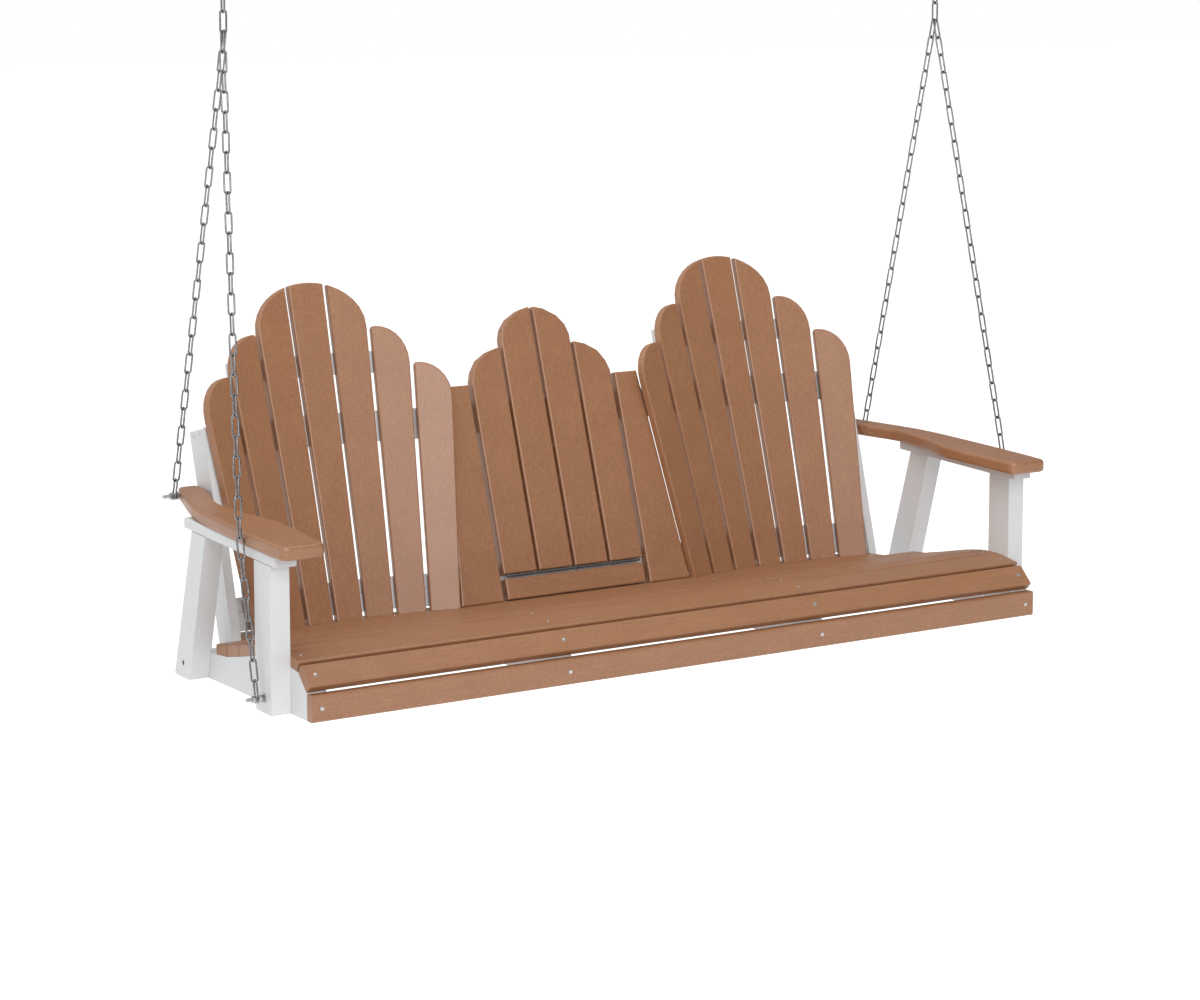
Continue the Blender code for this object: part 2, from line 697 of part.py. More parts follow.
def rail_ring(x, y_front, z_low, z_high, notch_z=None):
    """Reclined board section at x; y_front is its front face at the middle height."""
    middle = (z_low + z_high) / 2
    front = []
    heights = [z_low, z_high]
    if notch_z is not None:
        heights = [z_low, notch_z - 0.0012, notch_z, notch_z + 0.0012, z_high]
    for z in heights:
        dent = 0.002 if z == notch_z else 0.0
        front.append((y_front + FAN_LEAN * (z - middle) + dent, z))
    rear = []
    for z in heights[::-1]:
        dent = 0.002 if z == notch_z else 0.0
        rear.append((y_front + BOARD * 1.045 + FAN_LEAN * (z - middle) - dent, z))
    return [(x, y, z) for y, z in front + rear]


def end_front(z):
    """Front face of a back rail where it meets the upright."""
    return UPRIGHT_FRONT[0] + UPRIGHT_FRONT[1] * (z - 0.09) + RAIL_CLEARANCE


def console_back(z):
    """Back of the console's fixed boards at height z."""
    return console_y(z) + BOARD * math.hypot(1, CONSOLE_LEAN) + 2 * GAP


for word, side in SIDES:
    z = sum(TOP_RAIL_Z) / 2
    rings = []
    for g in fan_stations(z, -TOP_RAIL_HALF, TOP_RAIL_HALF):
        rings.append(rail_ring(side * (FAN_X + fan_shift(z) + g), fan_back(g, z), *TOP_RAIL_Z))
    to_object("fan_top_rail_" + word, ring_mesh(rings), "white", swing)

    z = sum(MID_RAIL_Z) / 2
    centre = FAN_X + fan_shift(z)
    limit = UPRIGHT_OUTER - UPRIGHT_THICKNESS - GAP - centre
    inner_edge = -3.5 * fan_pitch(z)
    rings = []
    behind = console_back(z) + RAIL_CLEARANCE
    rings.append(rail_ring(side * MID_RAIL_INNER_X, behind, *MID_RAIL_Z))
    rings.append(rail_ring(side * (centre + inner_edge - 0.006), behind, *MID_RAIL_Z))
    for g in fan_stations(z, inner_edge + 0.002, limit):
        front = end_front(z) if g == limit else fan_back(g, z)
        rings.append(rail_ring(side * (centre + g), max(front, behind), *MID_RAIL_Z))
    to_object("fan_mid_rail_" + word, ring_mesh(rings), "white", swing)


def lower_rail():
    """Two stacked boards behind the feet of the fans and the console boards."""
    z = sum(LOW_RAIL_Z) / 2
    centre = FAN_X + fan_shift(z)
    limit = UPRIGHT_OUTER - UPRIGHT_THICKNESS - GAP - centre
    half = []
    edge = -3.5 * fan_pitch(z)
    behind = console_back(z) + RAIL_CLEARANCE
    half.append((centre + edge - 0.006, max(fan_back(edge, z) + LOW_RAIL_ROOM, behind)))
    for g in fan_stations(z, edge, limit):
        front = end_front(z) if g == limit else fan_back(g, z) + LOW_RAIL_ROOM
        half.append((centre + g, max(front, behind)))
    path = [(-x, y) for x, y in half[::-1]] + half
    return ring_mesh([rail_ring(x, y, *LOW_RAIL_Z, LOW_RAIL_JOINT_Z) for x, y in path])


to_object("lower_back_rail", lower_rail(), "white", swing)


# ---------------------------------------------------------------------- console
def console_board(outline, carrier_trim=EDGE):
    """Board in the plane of the console, given by (x, z) points of its front face."""
    lean = math.hypot(1, CONSOLE_LEAN)
    back = np.array((0.0, 1 / lean, -CONSOLE_LEAN / lean))
    flat = anticlockwise([(x, z * lean) for x, z in outline])
    rings = []
    levels = ((0.0, carrier_trim), (EDGE * 0.3, EDGE * 0.3), (EDGE, 0.0), (BOARD, 0.0))
    for depth, trim in levels:
        ring = []
        for x, w in inset(flat, trim):
            z = w / lean
            point = np.array((x, console_y(z), z)) + back * depth
            floor = wide_top(point[1]) + FAN_FOOT_GAP
            if z < SIDE_BOARD_FOOT[1] + 0.01 and point[2] < floor + trim:
                lift = floor + trim - point[2]
                point = point + np.array((0.0, CONSOLE_LEAN, 1.0)) * lift
            ring.append(tuple(point))
        rings.append(ring)
    return ring_mesh(rings)


half = (CONSOLE_SLAT + CONSOLE_JOINT) / 2
for letter, sign, curve in (("b", -1, CONSOLE_INNER_ARC), ("c", 1, CONSOLE_INNER_ARC),
                            ("a", -1, CONSOLE_OUTER_ARC), ("d", 1, CONSOLE_OUTER_ARC)):
    near, far = curve[0][0], curve[-1][0]
    outline = [(near, CONSOLE_FOOT_Z)]
    outline += [(near, curve[0][1] - 0.006), (near + 0.003, curve[0][1] - 0.0012)]
    outline += [p for p in curve[1:-1]]
    outline += [(far, curve[-1][1]), (far, CONSOLE_FOOT_Z)]
    outline = [(sign * (x + (0.00025 if near < 0.01 else 0.0)), z) for x, z in outline]
    to_object("console_slat_" + letter, console_board(outline), "brown", console)


for word, side in SIDES:
    outline = [(SIDE_BOARD_INNER_X, SIDE_BOARD_FOOT[1]), SIDE_BOARD_FOOT, SIDE_BOARD_TOP,
               (SIDE_BOARD_INNER_X, SIDE_BOARD_TOP[1])]
    outline = [(side * x, z) for x, z in outline]
    to_object("console_side_board_" + word, console_board(outline), "brown", swing)

outline = [(-BASE_BOARD_HALF, BASE_BOARD_Z[0]), (BASE_BOARD_HALF, BASE_BOARD_Z[0]),
           (BASE_BOARD_HALF, BASE_BOARD_Z[1]), (-BASE_BOARD_HALF, BASE_BOARD_Z[1])]
to_object("console_base_board", console_board(outline), "brown", swing)


def tray():
    """Five boards between two end battens, fastened to the back of the folding slats."""
    columns = [-TRAY_HALF, -TRAY_HALF + TRAY_BATTEN, TRAY_HALF - TRAY_BATTEN, TRAY_HALF]
    levels = [TRAY_Z[0]]
    for z in TRAY_GAPS_Z:
        levels += [z - TRAY_GAP / 2, z + TRAY_GAP / 2]
    levels.append(TRAY_Z[1])
    lean = math.hypot(1, CONSOLE_LEAN)
    back = np.array((0.0, 1 / lean, -CONSOLE_LEAN / lean))
    body = bmesh.new()
    grid = {}
    for i, x in enumerate(columns):
        for j, z in enumerate(levels):
            for k, depth in enumerate((BOARD + GAP, BOARD + GAP + TRAY_THICKNESS)):
                point = np.array((x, console_y(z), z)) + back * depth
                grid[i, j, k] = body.verts.new(point)

    def solid(i, j):
        """Whether a cell of the grid is board, not gap or outside."""
        inside = 0 <= i < 3 and 0 <= j < len(levels) - 1
        return inside and (i != 1 or j % 2 == 0)

    for i in range(3):
        for j in range(len(levels) - 1):
            if not solid(i, j):
                continue
            for k in (0, 1):
                body.faces.new((grid[i, j, k], grid[i + 1, j, k],
                                grid[i + 1, j + 1, k], grid[i, j + 1, k]))
            borders = (((i - 1, j), (i, j), (i, j + 1)), ((i + 1, j), (i + 1, j), (i + 1, j + 1)),
                       ((i, j - 1), (i, j), (i + 1, j)), ((i, j + 1), (i, j + 1), (i + 1, j + 1)))
            for beyond, a, b in borders:
                if not solid(*beyond):
                    body.faces.new((grid[(*a, 0)], grid[(*b, 0)], grid[(*b, 1)], grid[(*a, 1)]))
    bmesh.ops.recalc_face_normals(body, faces=body.faces)
    return body


to_object("console_tray", tray(), "brown", console)


# ----------------------------------------------------------- bolts, chains, hooks
def turned(profile, side, place, sides=12):
    """Body turned round a line along X; profile as (x, radius) points."""
    rings = []
    for x, radius in profile:
        ring = []
        for k in range(sides):
            turn = 2 * math.pi * k / sides
            ring.append((side * x, place[0] + radius * math.cos(turn),
                         place[1] + radius * math.sin(turn)))
        rings.append(ring)
    return ring_mesh(rings)


def bolt(side, place, head_x, face_x, link_x, end_x):
    """Hanger bolt: head inside, washer and nut at the outer face, nut beyond the link."""
    reach = WIRE / 2 + 0.0012
    r = BOLT_RADIUS
    profile = [(head_x - 0.0045, 0.005), (head_x - 0.003, 0.008), (head_x - GAP, 0.0085),
               (head_x - GAP, r), (face_x + GAP, r), (face_x + GAP, 0.0085),
               (face_x + 0.002, 0.0085), (face_x + 0.002, 0.0066),
               (link_x - reach, 0.0066), (link_x - reach, r), (link_x + reach, r),
               (link_x + reach, 0.0085), (link_x + reach + 0.0015, 0.0085),
               (link_x + reach + 0.0015, 0.0066), (link_x + reach + 0.008, 0.0066),
               (link_x + reach + 0.008, r), (end_x, r)]
    return turned(profile, side, place)


for word, side in SIDES:
    body = bolt(side, FRONT_BOLT, SEAT_HALF - SIDE_RAIL_THICKNESS, SEAT_HALF + POST_THICKNESS,
                FRONT_LINK_X, FRONT_LINK_X + FRONT_BOLT_REACH)
    to_object("hanger_bolt_front_" + word, body, "steel", swing)
    body = bolt(side, REAR_BOLT, UPRIGHT_OUTER - UPRIGHT_THICKNESS, REAR_BOLT_WASHER_X,
                REAR_LINK_X, REAR_LINK_X + REAR_BOLT_REACH)
    to_object("hanger_bolt_rear_" + word, body, "steel", swing)


def link_rings(low, high, width_way, flat_end=0.0024):
    """Square-wire link between two wire centres, widest along width_way."""
    low, high = np.array(low), np.array(high)
    along = (high - low) / np.linalg.norm(high - low)
    width_way = width_way - along * (width_way @ along)
    width_way = width_way / np.linalg.norm(width_way)
    through = np.cross(along, width_way)
    centre = (low + high) / 2
    half_long = np.linalg.norm(high - low) / 2
    half_wide = (LINK_WIDTH - WIRE) / 2
    cut = half_wide - flat_end
    corners = [(half_wide, half_long - cut), (half_wide - cut, half_long)]
    path = corners + [(-u, v) for u, v in corners[::-1]]
    path += [(-u, -v) for u, v in corners] + [(u, -v) for u, v in corners[::-1]]
    rings = []
    thick = WIRE / 2
    count = len(path)
    for i in range(count):
        before, here, after = (np.array(path[(i + k) % count]) for k in (-1, 0, 1))
        first = (here - before) / np.linalg.norm(here - before)
        second = (after - here) / np.linalg.norm(after - here)
        normal = np.array((first[1] + second[1], -first[0] - second[0]))
        normal = normal / np.linalg.norm(normal)
        grow = thick / (normal @ np.array((first[1], -first[0])))
        ring = []
        for out, deep in ((1, 1), (-1, 1), (-1, -1), (1, -1)):
            u, v = here + normal * grow * out
            ring.append(tuple(centre + width_way * u + along * v + through * thick * deep))
        rings.append(ring)
    return rings


def along_path(points, distance):
    """Point at a distance along straight runs between the points."""
    for a, b in zip(points, points[1:]):
        a, b = np.array(a), np.array(b)
        length = np.linalg.norm(b - a)
        if distance <= length or np.allclose(b, points[-1]):
            return a + (b - a) * distance / length
        distance -= length
    return np.array(points[-1])


def strand(path, count):
    """Links laid along a path from a bolt to the knot, as (low, high) wire centres."""
    total = sum(np.linalg.norm(np.array(b) - np.array(a)) for a, b in zip(path, path[1:]))
    step = (total - WIRE + LINK_HOLD) / count
    links = []
    for i in range(count):
        links.append((along_path(path, i * step), along_path(path, i * step + step + WIRE - LINK_HOLD)))
    return links


def chain_body(links, square_link=None):
    """Links unioned into one body; every second link is turned a quarter."""
    groups = (bmesh.new(), bmesh.new())
    cross = np.array((1.0, 0.0, 0.0))
    for index, (low, high) in enumerate(links):
        along = (high - low) / np.linalg.norm(high - low)
        flat = np.cross(along, cross)
        way = flat if index % 2 == 0 else cross
        flat_end = 0.0056 if index == square_link else 0.0024
        part = ring_mesh(link_rings(low, high, way, flat_end), closed=True)
        mesh = bpy.data.meshes.new("link")
        if part.calc_volume(signed=True) < 0:
            bmesh.ops.reverse_faces(part, faces=part.faces)
        part.to_mesh(mesh)
        part.free()
        groups[index % 2].from_mesh(mesh)
        bpy.data.meshes.remove(mesh)
    return combine(groups[0], groups[1], "UNION")


for word, side in SIDES:
    knot = np.array((side * HANG_X, HANG_Y, KNOT_Z))
    aside = np.array((side * (WIRE / 2 + GAP), 0.0, 0.0))
    start = np.array((side * FRONT_LINK_X, *FRONT_BOLT))
    bend = np.array((side * ARM_BEND[0], *ARM_BEND[1:]))
    down = (start - bend) / np.linalg.norm(start - bend)
    start = start + down * (BOLT_RADIUS + WIRE / 2 + GAP)
    up = (knot - bend) / np.linalg.norm(knot - bend)
    links = strand([start, bend, knot + aside + up * (WIRE - LINK_HOLD)], FRONT_LINKS)
    first_upper = knot
    second = knot + np.array((0.0, 0.0, UPPER_LINK))
    links.append((first_upper, second))
    third = second - np.array((0.0, 0.0, WIRE - LINK_HOLD))
    links.append((third, third + np.array((0.0, 0.0, UPPER_LINK))))
    to_object("chain_front_" + word, chain_body(links, FRONT_LINKS), "steel", swing)

    start = np.array((side * REAR_LINK_X, *REAR_BOLT))
    down = (start - knot) / np.linalg.norm(start - knot)
    start = start + down * (BOLT_RADIUS + WIRE / 2 + GAP)
    end = knot - aside - down * (WIRE + KNOT_PLAY)
    to_object("chain_rear_" + word, chain_body(strand([start, end], REAR_LINKS)), "steel", swing)


def hook(side):
    """Ceiling eye: ring, neck and round plate."""
    centre = np.array((side * HANG_X, HANG_Y, HOOK_Z + HOOK_RING))
    rings = []
    for k in range(20):
        turn = 2 * math.pi * (k + 0.5) / 20
        out = np.array((math.cos(turn), 0.0, math.sin(turn)))
        ring = []
        for m in range(8):
            around = 2 * math.pi * (m + 0.5) / 8
            radius = HOOK_RING + HOOK_WIRE / 2 * math.cos(around)
            ring.append(tuple(centre + out * radius
                              + np.array((0.0, HOOK_WIRE / 2 * math.sin(around), 0.0))))
        rings.append(ring)
    eye = ring_mesh(rings, closed=True)
    top = PLATE_TOP_Z
    rings = []
    heights = ((top - HOOK_PLATE - HOOK_NECK - 0.001, 0.0028), (top - HOOK_PLATE - 0.003, 0.0045),
               (top - HOOK_PLATE, 0.009), (top - HOOK_PLATE + 0.0003, HOOK_PLATE_RADIUS - 0.001),
               (top - HOOK_PLATE + 0.001, HOOK_PLATE_RADIUS), (top, HOOK_PLATE_RADIUS))
    for z, radius in heights:
        rings.append([(centre[0] + radius * math.cos(math.pi * k / 12),
                       centre[1] + radius * math.sin(math.pi * k / 12), z) for k in range(24)])
    return combine(eye, ring_mesh(rings), "UNION")


for word, side in SIDES:
    to_object("ceiling_hook_" + word, hook(side), "steel", ceiling)
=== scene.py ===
import math

import bpy
import numpy as np
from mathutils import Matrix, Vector


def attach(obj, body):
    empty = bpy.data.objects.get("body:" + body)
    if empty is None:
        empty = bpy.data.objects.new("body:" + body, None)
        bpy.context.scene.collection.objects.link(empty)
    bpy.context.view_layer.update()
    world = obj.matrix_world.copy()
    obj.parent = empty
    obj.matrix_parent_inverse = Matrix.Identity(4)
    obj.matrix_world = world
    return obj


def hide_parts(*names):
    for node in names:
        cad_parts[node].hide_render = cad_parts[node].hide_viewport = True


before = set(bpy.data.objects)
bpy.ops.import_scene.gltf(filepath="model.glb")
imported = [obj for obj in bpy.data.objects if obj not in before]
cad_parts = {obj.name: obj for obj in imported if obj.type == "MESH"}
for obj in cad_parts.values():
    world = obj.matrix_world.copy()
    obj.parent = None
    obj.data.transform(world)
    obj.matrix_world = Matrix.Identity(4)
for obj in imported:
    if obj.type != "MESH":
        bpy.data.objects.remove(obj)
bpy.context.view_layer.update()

# The frame's origin lies between the two ceiling plates.  Places are measured on the
# seat itself, from the apron's lower edge, and moved by ORIGIN.  Sizes are in metres.
ORIGIN = np.array((0.0, 0.065, 1.3834))
SIDES = (("left", -1.0), ("right", 1.0))
SMOOTH_ANGLE = 40             # degrees between faces that still shade as one

# Chains
LINK_WIRE = 0.0038
LINK_PITCH = 0.0382
LINK_WIDTH = 0.0165
LINK_CORNER = 0.0052
JOINT_LINK_CORNER = 0.0040    # the link that both strands hang from
FRONT_LINKS = 33
REAR_LINKS = 25
TOUCH = 0.0003                # gap that stands for contact
KNOT = np.array((0.857, 0.065, 1.266))          # where the two strands meet
ARM_BEND = np.array((0.9235, -0.109, 0.340))    # where the front strand bends over the arm

# Ceiling eyes
EYE_WIRE = 0.006
EYE_RING = 0.013
EYE_DROP = 0.042              # from the ceiling to the ring's lowest wire centre
PLATE_SCREW_X = 0.018

# Hanger bolts
BOLT_RADIUS = 0.004
FRONT_BOLT = np.array((0.9225, -0.173, 0.029))
REAR_BOLT = np.array((0.8656, 0.313, 0.3355))
WASHER_PLACE = 0.0004         # off the wood
NUT_PLACE = 0.0021            # off the wood, on the washer
LINK_ROOM = 0.0010            # between the link and what holds it in place
BOLT_TO_WIRE = BOLT_RADIUS + LINK_WIRE / 2 + 0.0002     # from the bolt's axis to the link's wire

# Screws and the rear legs' sunk bolts
SCREW_RADIUS = 0.0042
SEAT_SCREW_RADIUS = 0.0036
FRAME_SCREW_RADIUS = 0.0038
SCREW_SIDES = 24
SEAT_SCREW_X = (-0.8455, -0.304, 0.304, 0.8455)
APRON_SCREW_YZ = (-0.2915, 0.0261)
NOSE_SCREW_YZ = (-0.2660, 0.0852)
NOSE_FACING = (0, -0.688, 0.725)
# Top of each seat board where its screws are: y, z and the board's slope from front to back.
SEAT_SCREW_ROWS = ((-0.2060, 0.1113, 0.135), (-0.1457, 0.1155, -0.02), (-0.0973, 0.1112, -0.09),
                   (-0.0488, 0.1020, -0.20), (-0.0003, 0.0911, -0.225), (0.0510, 0.0795, -0.205),
                   (0.1020, 0.0720, -0.0975))
SEAT_SCREW_SINK = 0.0004
UPRIGHT_SCREW_X = 0.805
UPRIGHT_SCREWS_YZ = ((0.3474, 0.4453), (0.3205, 0.4540))
LEG_BOLT = (0.9073, 0.193, 0.023)

# Console hinge
HINGE_YZ = (0.1858, 0.1158)
HINGE_HALF = 0.1660
KNUCKLE = 0.0166
KNUCKLE_RADIUS = 0.0026
KNUCKLE_GROOVE_RADIUS = 0.0021

# Studio
FLOOR_HALF = 40.0
FLOOR_DROP = 0.42             # from the apron's lower edge to the floor
CAMERA_PLACE = (-3.3229, -5.2650, 0.0428)
CAMERA_DOWN = 7.694           # degrees below level
CAMERA_TURN = -32.163         # degrees about the vertical, from looking along +Y
CAMERA_LENS = 90.675
CAMERA_SHIFT = -0.12


# ------------------------------------------------------------------ surfaces
def quads(rows, columns, close_rows=False):
    """Index grid of quads: cell (i, k) joins rows i, i+1 and columns k, k+1; columns wrap round."""
    i = np.arange(rows if close_rows else rows - 1)[:, None]
    k = np.arange(columns)[None, :]
    j = (i + 1) % rows
    m = (k + 1) % columns
    cell = np.stack((i * columns + k, i * columns + m, j * columns + m, j * columns + k), -1)
    return cell.reshape(-1, 4)


def sweep(centres, across, through, section, close=False):
    """Section points (u, v) carried along the centres: point = centre + across * u + through * v."""
    rows = centres[:, None] + across[:, None] * section[None, :, :1] + through[:, None] * section[None, :, 1:]
    return rows.reshape(-1, 3), quads(len(centres), len(section), close)


def circle(radius, sides):
    """Regular polygon: radius * (cosine, sine) of equal turns that start half a step round."""
    turn = 2 * np.pi * (np.arange(sides) + 0.5) / sides
    return radius * np.stack((np.cos(turn), np.sin(turn)), -1)


def turned(profile, start, axis, sides=24, wave=None):
    """Turned form: start + axis * distance + ring * radius for each (distance, radius) of the profile.

    The ring is a unit circle square to the axis; wave scales it by angle.
    """
    axis = np.array(axis, float) / np.linalg.norm(axis)
    helper = np.array((0.0, 0.0, 1.0)) if abs(axis[2]) < 0.9 else np.array((1.0, 0.0, 0.0))
    u = np.cross(axis, helper)
    u = u / np.linalg.norm(u)
    v = np.cross(axis, u)
    profile = np.array(profile, float)
    ring = circle(1.0, sides)
    if wave is not None:
        ring = ring * wave[:, None]
    radial = ring[:, :1] * u + ring[:, 1:] * v
    points = np.array(start, float) + profile[:, None, :1] * axis + profile[:, None, 1:] * radial[None]
    return points.reshape(-1, 3), quads(len(profile), sides)


def outward(part):
    """The part with its quads turned round if their summed corner volumes are negative."""
    vertices, cells = part
    a, b, c, d = (vertices[cells[:, k]] for k in range(4))
    volume = np.einsum("ij,ij->", a, np.cross(b, c)) + np.einsum("ij,ij->", a, np.cross(c, d))
    return part if volume > 0 else (vertices, cells[:, ::-1])


def piece(name, body, material, parts, replaces=()):
    """One finished object from (points, quads) parts given on the seat, riding on a body."""
    points = []
    faces = []
    start = 0
    for vertices, cells in parts:
        points.append(vertices - ORIGIN)
        faces.append(cells + start)
        start += len(vertices)
    mesh = bpy.data.meshes.new(name)
    mesh.from_pydata(np.concatenate(points).tolist(), [], np.concatenate(faces).tolist())
    mesh.validate()
    mesh.shade_smooth()
    mesh.set_sharp_from_angle(angle=math.radians(SMOOTH_ANGLE))
    mesh.materials.append(material)
    made = bpy.data.objects.new(name, mesh)
    bpy.context.scene.collection.objects.link(made)
    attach(made, body)
    if replaces:
        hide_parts(*replaces)
    return made


# ----------------------------------------------------------------- materials
def linear(code):
    """sRGB hex colour as linear red, green, blue and alpha."""
    values = [int(code[i:i + 2], 16) / 255 for i in (1, 3, 5)]
    return [v / 12.92 if v <= 0.04045 else ((v + 0.055) / 1.055) ** 2.4 for v in values] + [1.0]


def add(tree, kind, settings=(), links=(), values=(), stops=()):
    """Adds one node: settings are its properties, links and values its sockets, stops its colours."""
    node = tree.nodes.new(kind)
    for key, value in dict(settings).items():
        setattr(node, key, value)
    for key, value in dict(values).items():
        node.inputs[key].default_value = value
    for key, source in dict(links).items():
        tree.links.new(source, node.inputs[key])
    if stops:
        band = node.color_ramp.elements
        while len(band) < len(stops):
            band.new(0.5)
        for element, (place, code) in zip(band, stops):
            element.position = place
            element.color = linear(code)
    return node


def blank(name):
    """Material with only its shader and output, joined; returns material, tree and shader."""
    made = bpy.data.materials.new(name)
    made.use_nodes = True
    tree = made.node_tree
    tree.nodes.clear()
    shader = add(tree, "ShaderNodeBsdfPrincipled")
    add(tree, "ShaderNodeOutputMaterial", links={"Surface": shader.outputs["BSDF"]})
    return made, tree, shader


def lumber(name, stops, stretch, rough):
    """Extruded poly lumber: pebbled skin, faint streaks along the board and broad mottling.

    Scales are waves in a metre: a 3 mm grain, 2.4 mm pebbles, streaks 5 mm wide and some
    80 mm long, and 70 mm mottles.  The real pebbling is nearer 1 mm, too fine to show.
    """
    made, tree, shader = blank(name)
    place = add(tree, "ShaderNodeTexCoord").outputs["Object"]
    along = add(tree, "ShaderNodeMapping", links={"Vector": place}, values={"Scale": stretch})
    streaks = add(tree, "ShaderNodeTexNoise", links={"Vector": along.outputs["Vector"]},
                  values={"Scale": 210.0, "Detail": 3.0, "Roughness": 0.6})
    mottle = add(tree, "ShaderNodeTexNoise", links={"Vector": place},
                 values={"Scale": 14.0, "Detail": 2.0})
    grain = add(tree, "ShaderNodeTexNoise", links={"Vector": place},
                values={"Scale": 330.0, "Detail": 2.5, "Roughness": 0.6})
    pebbles = add(tree, "ShaderNodeTexVoronoi", links={"Vector": place}, values={"Scale": 420.0})

    # Colour: grain, plus 0.45 of the streaks, plus 0.22 of the mottling.
    streaked = add(tree, "ShaderNodeMath", {"operation": "MULTIPLY_ADD"},
                   {0: streaks.outputs["Fac"], 2: grain.outputs["Fac"]}, {1: 0.45})
    mottled = add(tree, "ShaderNodeMath", {"operation": "MULTIPLY_ADD"},
                  {0: mottle.outputs["Fac"], 2: streaked.outputs["Value"]}, {1: 0.22})
    level = add(tree, "ShaderNodeMapRange", links={"Value": mottled.outputs["Value"]},
                values={"From Min": 0.55, "From Max": 1.12})
    colour = add(tree, "ShaderNodeValToRGB", links={"Fac": level.outputs["Result"]}, stops=stops)
    tree.links.new(colour.outputs["Color"], shader.inputs["Base Color"])

    gloss = add(tree, "ShaderNodeMapRange", links={"Value": grain.outputs["Fac"]},
                values={"From Min": 0.3, "From Max": 0.7, "To Min": rough - 0.06, "To Max": rough + 0.08})
    tree.links.new(gloss.outputs["Result"], shader.inputs["Roughness"])
    skin = add(tree, "ShaderNodeMath", {"operation": "ADD"},
               {0: grain.outputs["Fac"], 1: pebbles.outputs["Distance"]})
    bump = add(tree, "ShaderNodeBump", links={"Height": skin.outputs["Value"]},
               values={"Strength": 0.30, "Distance": 0.0005})
    tree.links.new(bump.outputs["Normal"], shader.inputs["Normal"])
    shader.inputs["Specular IOR Level"].default_value = 0.8
    return made


def steel(name, stops, rough_low, rough_high, scale):
    """Steel: a fine noise sets its colour, its shine and a slight unevenness; scale is waves in a metre."""
    made, tree, shader = blank(name)
    place = add(tree, "ShaderNodeTexCoord").outputs["Object"]
    grain = add(tree, "ShaderNodeTexNoise", links={"Vector": place},
                values={"Scale": scale, "Detail": 4.0, "Roughness": 0.65})
    colour = add(tree, "ShaderNodeValToRGB", links={"Fac": grain.outputs["Fac"]}, stops=stops)
    tree.links.new(colour.outputs["Color"], shader.inputs["Base Color"])
    shine = add(tree, "ShaderNodeMapRange", links={"Value": grain.outputs["Fac"]},
                values={"To Min": rough_low, "To Max": rough_high})
    tree.links.new(shine.outputs["Result"], shader.inputs["Roughness"])
    bump = add(tree, "ShaderNodeBump", links={"Height": grain.outputs["Fac"]},
               values={"Strength": 0.08, "Distance": 0.0001})
    tree.links.new(bump.outputs["Normal"], shader.inputs["Normal"])
    shader.inputs["Metallic"].default_value = 1.0
    return made


BROWN_STOPS = ((0.0, "#895B3B"), (0.5, "#986845"), (1.0, "#A77753"))
WHITE_STOPS = ((0.0, "#D3D4D5"), (0.5, "#D8D9DA"), (1.0, "#DCDDDE"))
# Along the board's length a pattern is stretched by 1 / 0.06.
LENGTH_X = (0.06, 1.0, 1.0)
LENGTH_Y = (1.0, 0.06, 1.0)
LENGTH_Z = (1.0, 1.0, 0.06)
# Cedar-brown board: satin plastic whose pebbled skin breaks the highlights up.
brown_along_x = lumber("cedar_poly_lumber_long", BROWN_STOPS, LENGTH_X, 0.40)
brown_upright = lumber("cedar_poly_lumber_upright", BROWN_STOPS, LENGTH_Z, 0.40)
brown_along_y = lumber("cedar_poly_lumber_arm", BROWN_STOPS, LENGTH_Y, 0.40)
# White board: the same skin, nearly without colour, a little duller.
white_upright = lumber("white_poly_lumber_upright", WHITE_STOPS, LENGTH_Z, 0.5)
white_along_x = lumber("white_poly_lumber_long", WHITE_STOPS, LENGTH_X, 0.5)
white_along_y = lumber("white_poly_lumber_rail", WHITE_STOPS, LENGTH_Y, 0.5)
# Polished chain wire: mid grey with sharp, bright lights.
chain_steel = steel("bright_chain_steel", ((0.3, "#5F6163"), (0.6, "#8E9092")), 0.16, 0.3, 240.0)
# Zinc plate on bolts and eyes: pale and soft.
bolt_steel = steel("zinc_bolt_steel", ((0.3, "#9A9B9C"), (0.7, "#C4C5C5")), 0.22, 0.42, 400.0)
# Rolled hinge steel: darker and duller than the chain.
hinge_steel = steel("dark_hinge_steel", ((0.3, "#5E6368"), (0.7, "#7F868B")), 0.3, 0.5, 300.0)
# Stainless screw heads: the palest metal, so that they show as points.
screw_steel = steel("stainless_screw_steel", ((0.3, "#A9A9A8"), (0.7, "#CFCFCE")), 0.25, 0.45, 500.0)


def material_for(node_name):
    """Board material by the way the board's length runs; what isn't a board is zinc steel."""
    if node_name.startswith(("seat_slat", "apron", "nose", "console_base", "console_tray")):
        return brown_along_x
    if node_name.startswith("armrest"):
        return brown_along_y
    if node_name.startswith(("fan_left_slat", "fan_right_slat", "console")):
        return brown_upright
    if node_name.startswith(("side_rail", "seat_rib", "arm_rail")):
        return white_along_y
    if node_name.startswith(("fan_top", "fan_mid", "lower_back")):
        return white_along_x
    if node_name.startswith(("front_post", "rear_leg", "back_upright")):
        return white_upright
    return bolt_steel


for node_name, node_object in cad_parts.items():
    node_object.data.materials.clear()
    node_object.data.materials.append(material_for(node_name))


# --------------------------------------------------------------------- chains
def along_path(path, distance):
    """Points at the distances along straight runs between the path's points."""
    steps = np.linalg.norm(np.diff(path, axis=0), axis=1)
    reach = np.concatenate(((0.0,), np.cumsum(steps)))
    return np.stack([np.interp(distance, reach, path[:, k]) for k in range(3)], -1)


def strand(path, count):
    """Wire centres at both ends of each link: step * i, and step * (i + 1) + wire, along the path.

    The step shares the path's length, less one wire, between the links.
    """
    total = np.linalg.norm(np.diff(path, axis=0), axis=1).sum()
    step = (total - LINK_WIRE) / count
    low = step * np.arange(count)
    return np.stack((along_path(path, low), along_path(path, low + step + LINK_WIRE)), 1)


